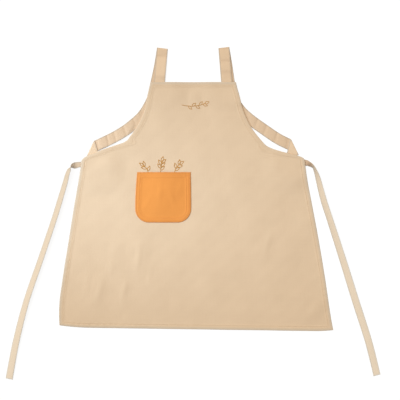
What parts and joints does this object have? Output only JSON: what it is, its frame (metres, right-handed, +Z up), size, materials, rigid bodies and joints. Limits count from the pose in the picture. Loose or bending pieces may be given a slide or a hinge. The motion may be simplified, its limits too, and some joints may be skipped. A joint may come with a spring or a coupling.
{
  "type": "kitchen apron",
  "caption": "Cotton bib apron with hemmed edges, an open patch pocket, shoulder straps joined to the waist corners and waist ties, laid out flat.",
  "frame": {"origin": "on the surface the apron lies on, under the middle of its laid-out outline", "axes": "+Z up from that surface, out of the apron's front; +Y from the hem towards the bib; +X to the right seen from the front, along the widest reach of the ties"},
  "size_m": [1.1245, 0.998, 0.0222],
  "materials": {
    "cotton": "matte plain weave",
    "pocket_cotton": "matte plain weave"
  },
  "bodies": {
    "root": {"panel": "cotton", "pocket": "pocket_cotton", "shoulder_strap_left": "cotton", "shoulder_strap_right": "cotton", "waist_tie_left": "cotton", "waist_tie_right": "cotton"}
  },
  "joints": []
}
